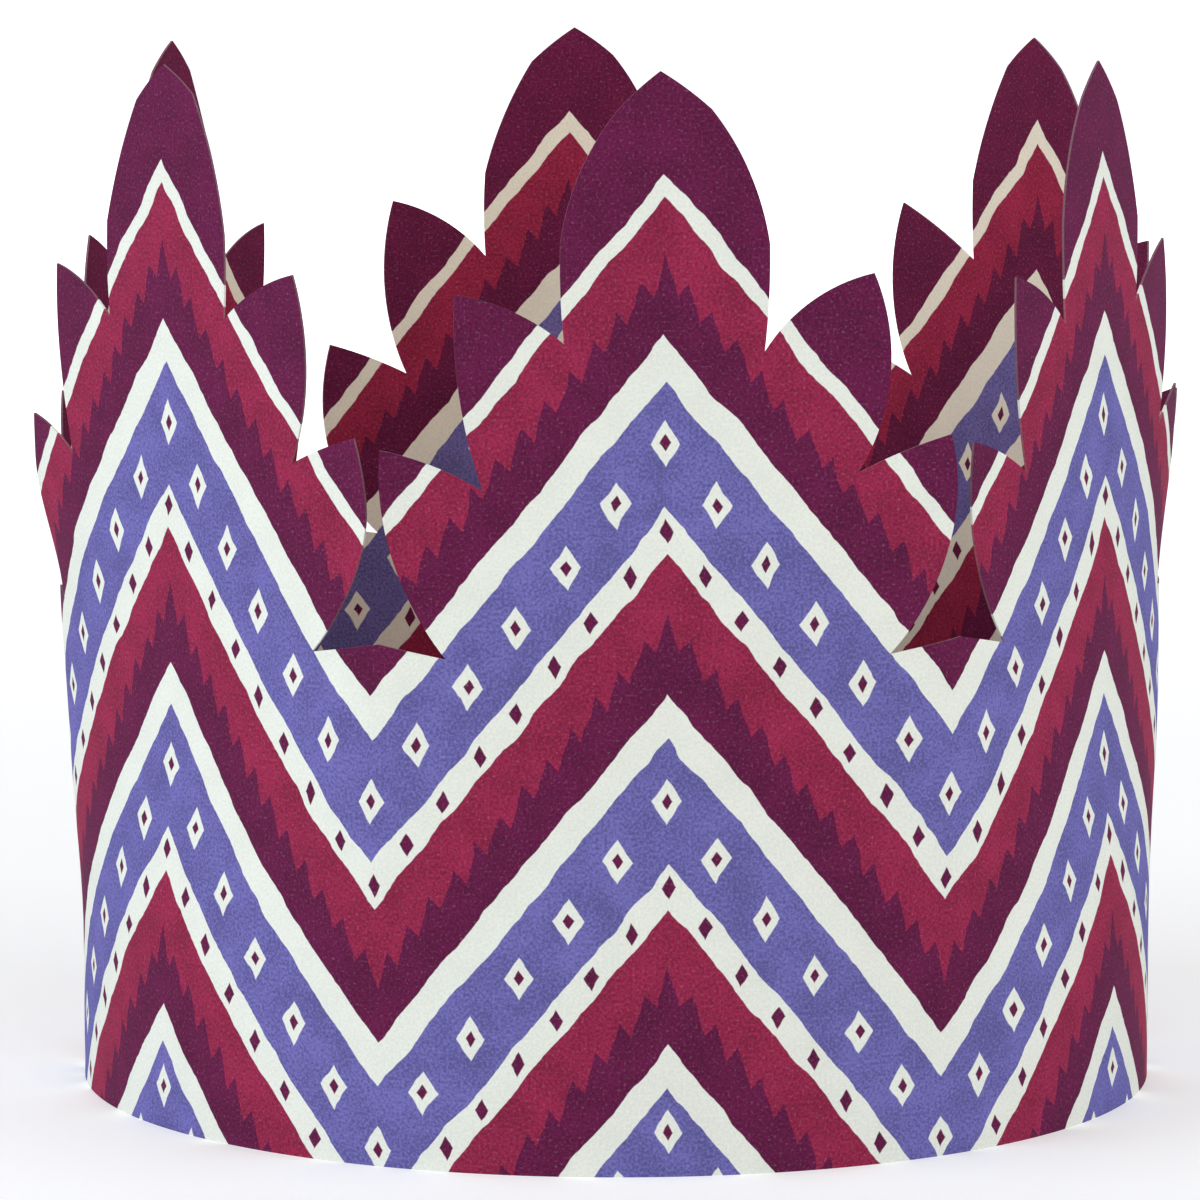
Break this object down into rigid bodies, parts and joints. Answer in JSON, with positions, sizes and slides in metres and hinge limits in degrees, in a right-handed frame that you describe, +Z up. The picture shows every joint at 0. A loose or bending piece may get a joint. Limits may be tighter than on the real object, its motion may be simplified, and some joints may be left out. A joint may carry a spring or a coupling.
{
  "type": "paper crown",
  "caption": "Open ring crown rolled from a strip of printed card, its top edge cut into tall leaf-shaped plumes with pointed side lobes, its ends lapped and glued.",
  "frame": {"origin": "centre of the ring on the plane that its base edge stands on", "axes": "+Z up along the ring's axis, -Y out through the middle of one plume"},
  "size_m": [0.1972, 0.191, 0.1835],
  "materials": {
    "printed_card": "matte uncoated card printed on both faces in plum, crimson, lavender blue and ivory"
  },
  "bodies": {
    "root": {"crown": "printed_card"}
  },
  "joints": []
}
